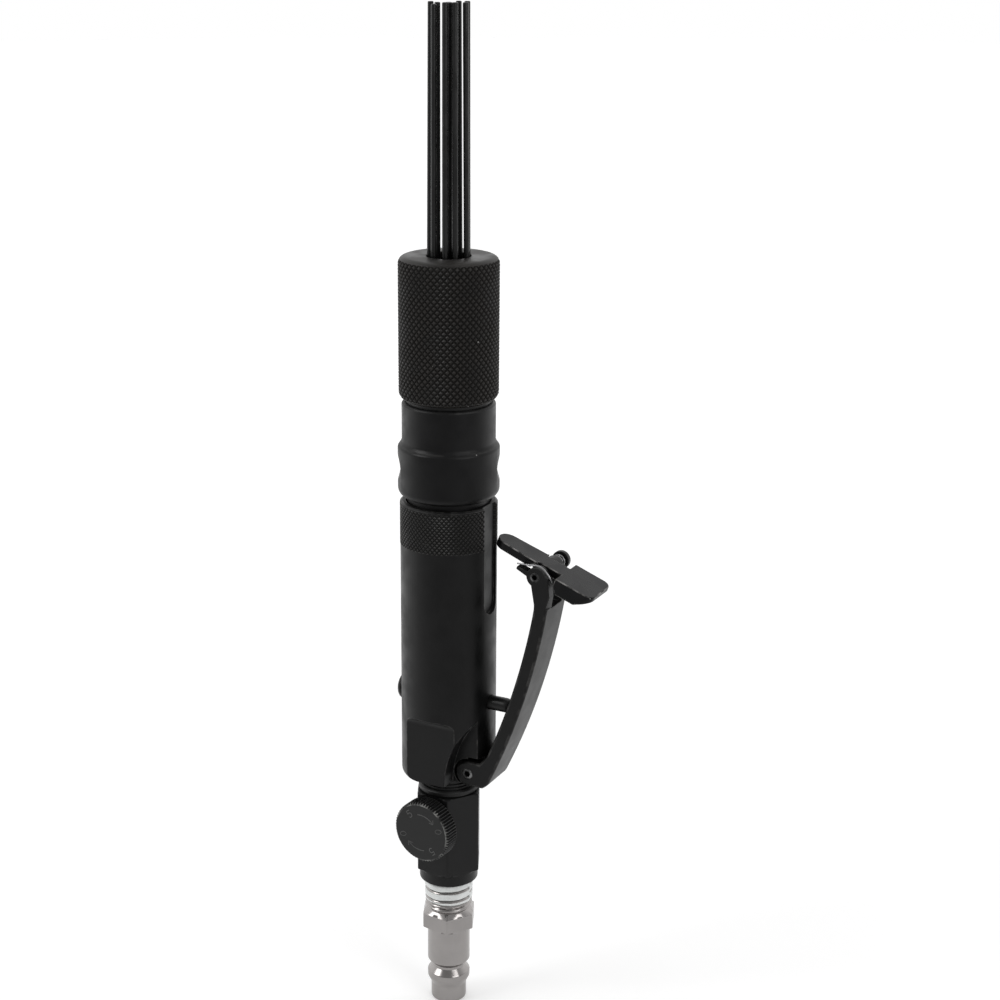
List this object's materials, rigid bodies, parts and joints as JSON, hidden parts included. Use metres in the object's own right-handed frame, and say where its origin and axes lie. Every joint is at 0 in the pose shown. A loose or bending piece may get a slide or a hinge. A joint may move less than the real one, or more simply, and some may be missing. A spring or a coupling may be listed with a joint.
{
  "type": "needle scaler",
  "caption": "Straight hand-held air tool with a bundle of needles at the front, a squeeze lever with a safety latch, a flow regulator and an air plug.",
  "frame": {"origin": "centre of the air plug's nose end", "axes": "+Z along the tool's axis towards the needles, +X towards the throttle lever, -Y towards the regulator's knob"},
  "size_m": [0.0596, 0.0285, 0.278],
  "materials": {
    "plug_nickel": "satin nickel",
    "sealant": "dried paste",
    "brass": "machined",
    "black_body": "matt black anodised",
    "black_knurl": "black knurled",
    "black_steel": "satin black",
    "needle_steel": "black steel",
    "rubber": "moulded",
    "steel": "ground",
    "spring_steel": "bright wire"
  },
  "bodies": {
    "tool": {"air_plug": "plug_nickel", "thread_sealant": "sealant", "inlet_screen": "brass", "regulator_body": "black_body", "stem_clip": "spring_steel", "seal_ring": "rubber", "main_body": "black_body", "valve_cap": "black_body", "valve_cap_oring": "rubber", "valve_spring": "spring_steel", "pin_oring": "rubber", "lever_pin": "black_steel", "valve_plate": "steel", "cylinder_liner": "steel", "front_collar": "black_body", "sleeve_seal": "rubber", "front_sleeve": "black_knurl", "needle_spring": "spring_steel"},
    "knob": {"regulator_knob": "black_body", "regulator_stem": "brass", "stem_oring": "rubber"},
    "lever": {"throttle_lever": "black_steel", "latch_pin": "black_steel", "latch_spring": "spring_steel"},
    "latch": {"safety_latch": "black_steel"},
    "valve": {"valve_pin": "steel", "valve_poppet": "rubber"},
    "piston_body": {"piston": "steel"},
    "anvil_body": {"anvil": "steel"},
    "needle_pack": {"needle_holder": "steel", "needles": "needle_steel"}
  },
  "joints": [
    {"name": "lever_press", "type": "hinge", "parent": "tool", "child": "lever", "pos_m": [0.00885, 0, 0.0739], "axis": [0, -1, 0], "range_deg": [0, 4.5], "stiffness_Nm_per_rad": 0.6, "springref_deg": -11.46},
    {"name": "latch_swing", "type": "hinge", "parent": "lever", "child": "latch", "pos_m": [0.0284, 0, 0.1341], "axis": [0, 1, 0], "range_deg": [0, 20.25], "deforming": ["latch_spring"]},
    {"name": "valve_stroke", "type": "slide", "parent": "tool", "child": "valve", "axis": [-1, 0, 0], "range_m": [0, 0.0021], "deforming": ["valve_spring"]},
    {"name": "knob_turn", "type": "hinge", "parent": "tool", "child": "knob", "pos_m": [0, 0, 0.0575], "axis": [-0.0785, -0.9969, 0], "range_deg": [0, 90]},
    {"name": "piston_stroke", "type": "slide", "parent": "tool", "child": "piston_body", "axis": [0, 0, 1], "range_m": [0, 0.0155]},
    {"name": "needle_travel", "type": "slide", "parent": "tool", "child": "needle_pack", "axis": [0, 0, 1], "range_m": [0, 0.005], "stiffness_N_per_m": 1500, "springref_m": -0.004, "deforming": ["needle_spring"]},
    {"name": "anvil_travel", "type": "slide", "parent": "tool", "child": "anvil_body", "axis": [0, 0, 1], "range_m": [0, 0.005]}
  ],
  "couplings": [
    {"joint": "latch_swing", "follows": "lever_press", "ratio": 4.5},
    {"joint": "valve_stroke", "follows": "lever_press", "m_per_rad": 0.0255},
    {"joint": "anvil_travel", "follows": "needle_travel", "ratio": 1}
  ]
}
